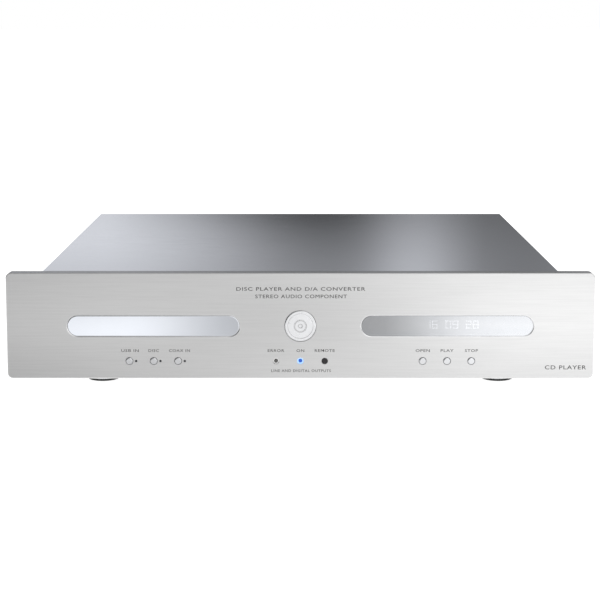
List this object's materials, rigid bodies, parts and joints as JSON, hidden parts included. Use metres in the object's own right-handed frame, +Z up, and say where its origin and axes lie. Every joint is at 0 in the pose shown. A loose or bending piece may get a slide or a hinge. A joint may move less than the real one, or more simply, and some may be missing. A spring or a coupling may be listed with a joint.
{
  "type": "cd player",
  "caption": "Full-width disc player with a thick silver front plate, disc drawer and display windows, round feet, rear sockets and a working loader.",
  "frame": {"origin": "bottom centre of the bounding box, on the surface that the feet stand on", "axes": "+X to the player's right seen from the front, +Y towards the back panel, +Z up; the front plate faces -Y"},
  "size_m": [0.482, 0.375, 0.1],
  "materials": {
    "front_aluminium": "brushed",
    "cover_metal": "brushed",
    "chassis_steel": "satin",
    "rear_black": "matte",
    "screw_steel": "satin",
    "foot_metal": "satin",
    "rubber": "matte",
    "emblem_metal": "polished",
    "drawer_metal": "polished",
    "window_clear": "gloss",
    "display_glass": "gloss",
    "board_green": "satin",
    "black_plastic": "matte",
    "grey_plastic": "matte",
    "white_plastic": "matte",
    "button_metal": "satin",
    "lamp_lens": "gloss",
    "blue_lens": "gloss",
    "sensor_lens": "gloss",
    "motor_steel": "satin",
    "transformer_wrap": "satin",
    "capacitor_black": "satin",
    "connector_gold": "polished",
    "lens_glass": "gloss"
  },
  "bodies": {
    "case": {"front_panel": "front_aluminium", "emblem_disc": "emblem_metal", "front_subplate": "chassis_steel", "base_plate": "chassis_steel", "top_cover": "cover_metal", "rear_panel": "rear_black", "side_rails": "front_aluminium", "chassis_screws": "screw_steel", "feet": "foot_metal", "foot_pads": "rubber", "foot_screws": "screw_steel", "display_window": "window_clear", "display_module": "display_glass", "front_boards": "board_green", "button_switches": "black_plastic", "status_leds": "lamp_lens", "power_led": "blue_lens", "ir_sensor": "sensor_lens", "loader_frame": "black_plastic", "loader_posts": "screw_steel", "clamp_bridge": "chassis_steel", "loading_motor": "motor_steel", "drive_belt": "rubber", "toroidal_transformer": "transformer_wrap", "transformer_clamp": "screw_steel", "power_board": "board_green", "audio_board": "board_green", "digital_board": "board_green", "board_standoffs": "screw_steel", "board_capacitors": "capacitor_black", "board_chips": "black_plastic", "heat_sink": "cover_metal", "ribbon_cable": "grey_plastic", "xlr_sockets": "grey_plastic", "rca_sockets": "connector_gold", "usb_socket": "screw_steel", "mains_inlet": "black_plastic"},
    "drawer": {"tray_front": "drawer_metal", "disc_tray": "black_plastic"},
    "tray_gear": {"tray_gear": "white_plastic"},
    "pulley_gear": {"pulley_gear": "white_plastic"},
    "motor_pulley": {"motor_pulley": "white_plastic"},
    "lift_cam": {"lift_cam": "grey_plastic"},
    "traverse": {"traverse_frame": "chassis_steel", "guide_rods": "screw_steel", "spindle_motor": "motor_steel", "sled_motor": "motor_steel"},
    "turntable": {"turntable": "black_plastic"},
    "clamp_puck": {"clamp_puck": "black_plastic"},
    "pickup_sled": {"pickup_sled": "grey_plastic"},
    "pickup_lens": {"pickup_lens": "lens_glass"},
    "sled_gear": {"sled_gear": "white_plastic"},
    "sled_pinion": {"sled_pinion": "white_plastic"},
    "power_rocker": {"power_rocker": "black_plastic"},
    "usb_button": {"usb_button": "button_metal"},
    "disc_button": {"disc_button": "button_metal"},
    "coax_button": {"coax_button": "button_metal"},
    "open_button": {"open_button": "button_metal"},
    "play_button": {"play_button": "button_metal"},
    "stop_button": {"stop_button": "button_metal"}
  },
  "joints": [
    {"name": "tray_slide", "type": "slide", "parent": "case", "child": "drawer", "axis": [0, -1, 0], "range_m": [0, 0.142]},
    {"name": "tray_gear_spin", "type": "hinge", "parent": "case", "child": "tray_gear", "pos_m": [-0.0725, -0.148, 0.0475], "axis": [0, 0, 1], "range_deg": [-680, 1]},
    {"name": "pulley_spin", "type": "hinge", "parent": "case", "child": "pulley_gear", "pos_m": [-0.0945, -0.148, 0.042], "axis": [0, 0, 1], "range_deg": [-1, 1810]},
    {"name": "motor_spin", "type": "hinge", "parent": "case", "child": "motor_pulley", "pos_m": [-0.1285, -0.148, 0.038], "axis": [0, 0, 1], "range_deg": [-1, 5592]},
    {"name": "cam_slide", "type": "slide", "parent": "case", "child": "lift_cam", "axis": [1, 0, 0], "range_m": [0, 0.018]},
    {"name": "traverse_tilt", "type": "hinge", "parent": "case", "child": "traverse", "pos_m": [-0.1205, -0.014, 0.0415], "axis": [1, 0, 0], "range_deg": [-0.05, 2.9]},
    {"name": "turntable_spin", "type": "hinge", "parent": "traverse", "child": "turntable", "pos_m": [-0.1205, -0.107, 0.05], "axis": [0, 0, 1], "continuous": true},
    {"name": "clamp_puck_spin", "type": "hinge", "parent": "case", "child": "clamp_puck", "pos_m": [-0.1205, -0.107, 0.06], "axis": [0, 0, 1], "continuous": true},
    {"name": "sled_slide", "type": "slide", "parent": "traverse", "child": "pickup_sled", "axis": [0, 1, 0], "range_m": [0, 0.034]},
    {"name": "lens_focus", "type": "slide", "parent": "pickup_sled", "child": "pickup_lens", "axis": [0, 0, 1], "range_m": [-0.0006, 0.0006], "stiffness_N_per_m": 40},
    {"name": "sled_gear_spin", "type": "hinge", "parent": "traverse", "child": "sled_gear", "pos_m": [-0.0857, -0.06, 0.0452], "axis": [0, 0, 1], "range_deg": [-543, 1]},
    {"name": "sled_pinion_spin", "type": "hinge", "parent": "traverse", "child": "sled_pinion", "pos_m": [-0.0797, -0.04961, 0.046], "axis": [0, 0, 1], "range_deg": [-1, 1626]},
    {"name": "rocker_tilt", "type": "hinge", "parent": "case", "child": "power_rocker", "pos_m": [-0.168, 0.1695, 0.0705], "axis": [-1, 0, 0], "range_deg": [0, 16]},
    {"name": "usb_press", "type": "slide", "parent": "case", "child": "usb_button", "axis": [0, 1, 0], "range_m": [0, 0.0006], "stiffness_N_per_m": 900},
    {"name": "disc_press", "type": "slide", "parent": "case", "child": "disc_button", "axis": [0, 1, 0], "range_m": [0, 0.0006], "stiffness_N_per_m": 900},
    {"name": "coax_press", "type": "slide", "parent": "case", "child": "coax_button", "axis": [0, 1, 0], "range_m": [0, 0.0006], "stiffness_N_per_m": 900},
    {"name": "open_press", "type": "slide", "parent": "case", "child": "open_button", "axis": [0, 1, 0], "range_m": [0, 0.0006], "stiffness_N_per_m": 900},
    {"name": "play_press", "type": "slide", "parent": "case", "child": "play_button", "axis": [0, 1, 0], "range_m": [0, 0.0006], "stiffness_N_per_m": 900},
    {"name": "stop_press", "type": "slide", "parent": "case", "child": "stop_button", "axis": [0, 1, 0], "range_m": [0, 0.0006], "stiffness_N_per_m": 900}
  ],
  "couplings": [
    {"joint": "tray_gear_spin", "follows": "tray_slide", "rad_per_m": -83.333},
    {"joint": "pulley_spin", "follows": "tray_slide", "rad_per_m": 222.22},
    {"joint": "motor_spin", "follows": "tray_slide", "rad_per_m": 686.57},
    {"joint": "traverse_tilt", "follows": "cam_slide", "rad_per_m": 2.7836},
    {"joint": "clamp_puck_spin", "follows": "turntable_spin", "ratio": 1},
    {"joint": "sled_gear_spin", "follows": "sled_slide", "rad_per_m": -277.78},
    {"joint": "sled_pinion_spin", "follows": "sled_slide", "rad_per_m": 833.33}
  ]
}
